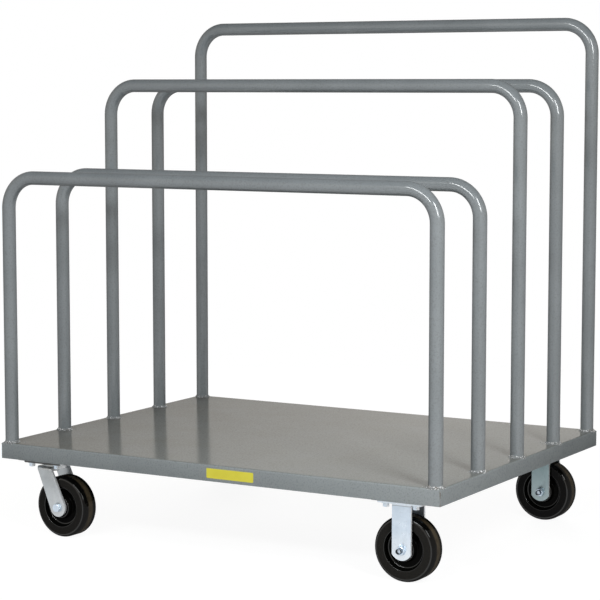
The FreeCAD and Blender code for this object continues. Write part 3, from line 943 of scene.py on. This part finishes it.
spins = [joint for joint in frame["joints"] if joint["name"].endswith("wheel_spin")]
rigidAxle = next(joint["pos_m"][1] for joint in spins if joint["name"] == "front_rigid_wheel_spin")
boltLow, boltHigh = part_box("front_rigid_axle_bolt")
nutLow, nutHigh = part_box("front_rigid_axle_nut")
boltEnds = (boltLow.y, nutLow.y, nutHigh.y, boltHigh.y)
for joint in spins:
    caster = joint["name"].replace("_wheel_spin", "")
    side = 1 if "rigid" in caster else -1  # the swivel casters hold their bolts the other way round
    tip, nutFace, nutSeat, top = [side * (y - rigidAxle) for y in boltEnds]
    bolt = boltMesh(caster + "AxleBolt", -nutSeat, top, tip)
    nut = nutMesh(caster + "AxleNut", nutSeat, nutFace)
    addPiece(caster + "_axle_bolt", bolt, axleZinc, place=axlePlace(joint))
    addPiece(caster + "_axle_nut", nut, axleZinc, place=axlePlace(joint))
print("axles made")


# wheels
wheelShape = {
    "width": 0.0508,
    "rimBand": 0.0262,     # tread to the recess
    "rimSlope": 0.005,
    "rimEase": 0.0012,
    "web": 0.027,
    "webEase": 0.003,
    "hub": 0.027,
    "hubDraft": 0.0025,
    "hubEase": 0.0016,
    "bore": 0.01513,
    "boreEase": 0.0008,
    "shoulder": 0.009,
    "easeSteps": 8,
    "steps": 128,
    "smooth": 28,
}


def wheelMesh(name, tread):
    w = wheelShape
    face, web, hub = w["width"] / 2, w["web"] / 2, hubLength / 2
    rim = tread - w["rimBand"]
    half = [
        (w["bore"], hub, w["boreEase"]), (w["hub"], hub, w["hubEase"]),
        (w["hub"] + w["hubDraft"], web, w["webEase"]), (rim - w["rimSlope"], web, w["webEase"]),
        (rim, face, w["rimEase"]), (tread, face, w["shoulder"]),
    ]
    outline = half + [(radius, -along, ease) for radius, along, ease in reversed(half)]
    rounded = fillet(outline, w["easeSteps"])
    mesh = lathe(name, lambda angle: rounded, w["steps"])
    smoothByAngle(mesh, w["smooth"])
    return mesh


wheelTread = (wheelHigh.z - wheelLow.z) / 2
phenolic = {end: makePhenolic(end, wheelTread) for end in ("front", "rear")}
for joint in spins:
    node = joint["name"].replace("_spin", "")
    finish = phenolic[node.split("_")[0]]
    mesh = wheelMesh(node + "Turned", wheelTread)
    addPiece(node, mesh, finish, place=axlePlace(joint))
print("wheels made")


# floor, backdrop and light
stageLook = {
    "white": (1.0, 1.0, 1.0, 1.0),
    "floorSize": 14.0,
    "floorDim": (0.4, 0.4, 0.4, 1.0),         # what the floor gives back to the object
    "shade": 0.15,                            # how much of the shadow the camera sees
    "shadeReach": (0.9, 3.0),
    "litLevel": 0.5,                          # brightness of the open floor, made up to white
    "worldTint": (1.0, 0.93, 0.87, 1.0),
    "worldLevel": 0.1,
    "mirroredTint": (1.0, 0.955, 0.89, 1.0),  # the backdrop as the object mirrors it
    "overhead": (0.3, 0.7),                   # rise over which it gives way to the darker room
    "roomLevel": 0.3,
}


def showsWhite(f):  # 1 for rays that see the white backdrop
    seen = f.node("LightPath", {}, {}, "Is Camera Ray")
    mirrored = f.node("LightPath", {}, {}, "Is Glossy Ray")
    passed = f.node("LightPath", {}, {}, "Is Transmission Ray")
    return (seen + mirrored + passed).clamp()


def makeFloor():
    size = stageLook["floorSize"]
    corners = [Vector((x * size, y * size, 0.0)) for x, y in ((-1, -1), (1, -1), (1, 1), (-1, 1))]
    floor = bpy.data.objects.new("studioFloor", meshFrom("studioFloor", corners, [(0, 1, 2, 3)]))
    scene.collection.objects.link(floor)
    f = newFinish("studioFloorPaper")
    shade = (1.0 - f.ramp(f.length(f.place()), *stageLook["shadeReach"])) * stageLook["shade"]
    plain = f.node("Emission", {}, {"Strength": 1.0})
    paper = f.node("BsdfDiffuse", {}, {"Color": stageLook["white"]})
    lift = f.node("Emission", {}, {"Strength": 1.0 - stageLook["litLevel"]})
    shaded = f.node("AddShader", {}, {0: paper, 1: lift})
    white = f.node("MixShader", {}, {0: shade, 1: plain, 2: shaded})
    grey = f.node("BsdfDiffuse", {}, {"Color": stageLook["floorDim"]})
    floorShader = f.node("MixShader", {}, {0: showsWhite(f), 1: grey, 2: white})
    f.node("OutputMaterial", {}, {"Surface": floorShader})
    floor.data.materials.append(f.owner)


def makeWorld():
    scene.world = bpy.data.worlds.new("studioWorld")
    f = Finish(scene.world)
    soft = f.node("Background", {}, {"Color": stageLook["worldTint"], "Strength": stageLook["worldLevel"]})
    white = f.node("Background", {}, {"Color": stageLook["white"], "Strength": 1.0})
    warm = f.node("Background", {}, {"Color": stageLook["mirroredTint"], "Strength": 1.0})
    room = f.node("Background", {}, {"Color": stageLook["white"], "Strength": stageLook["roomLevel"]})
    rise = f.along(f.node("TexCoord", {}, {}, "Generated"), "Z")
    mirrored = f.node("LightPath", {}, {}, "Is Glossy Ray")
    overhead = mirrored * f.ramp(rise, *stageLook["overhead"])
    level = f.node("MixShader", {}, {0: mirrored, 1: white, 2: warm})
    backdrop = f.node("MixShader", {}, {0: overhead, 1: level, 2: room})
    worldShader = f.node("MixShader", {}, {0: showsWhite(f), 1: soft, 2: backdrop})
    f.node("OutputWorld", {}, {"Surface": worldShader})


lamps = {  # place, aim, width, height, watts, colour, mirrored
    "frontBox": ((0.2, -3.35, 2.4), (0.0, -0.1, 0.5), 2.4, 0.5, 65.0, (0.97, 0.99, 1.0), True),
    "rightBox": ((2.45, -1.75, 1.95), (0.2, -0.1, 0.5), 0.68, 1.35, 50.0, (0.97, 0.99, 1.0), True),
    "lowFill": ((2.0, -1.5, 0.4), (0.5, 0.0, 0.25), 0.9, 0.5, 8.0, (1.0, 0.94, 0.88), False),
    "backSoft": ((-2.3, 4.0, 1.3), (0.0, 0.0, 0.6), 2.5, 1.2, 140.0, (1.0, 0.98, 0.95), False),
}


def makeLamps():
    for name, (place, aim, width, height, watts, colour, mirrored) in lamps.items():
        lamp = bpy.data.lights.new(name, "AREA")
        lamp.shape = "RECTANGLE"
        lamp.size = width
        lamp.size_y = height
        lamp.energy = watts
        lamp.color = colour
        holder = bpy.data.objects.new(name, lamp)
        holder.location = place
        holder.rotation_euler = (Vector(aim) - Vector(place)).to_track_quat("-Z", "Y").to_euler()
        holder.visible_camera = False
        holder.visible_glossy = mirrored
        scene.collection.objects.link(holder)


makeFloor()
makeWorld()
makeLamps()
scene.view_settings.view_transform = "Standard"
print("stage and lamps set")


# camera at the photo's angle, for a square picture
cameraSet = {
    "place": (2.5974, -4.5164, 1.1212),
    "turn": 30.02,         # degrees left of straight along the deck's depth
    "tilt": -5.936,
    "lens": 124.5,
    "sensor": 36.0,
}
lens = bpy.data.cameras.new("photoCamera")
lens.lens = cameraSet["lens"]
lens.sensor_width = cameraSet["sensor"]
camera = bpy.data.objects.new("photoCamera", lens)
camera.location = cameraSet["place"]
camera.rotation_euler = (math.radians(90 + cameraSet["tilt"]), 0.0, math.radians(cameraSet["turn"]))
scene.collection.objects.link(camera)
scene.camera = camera
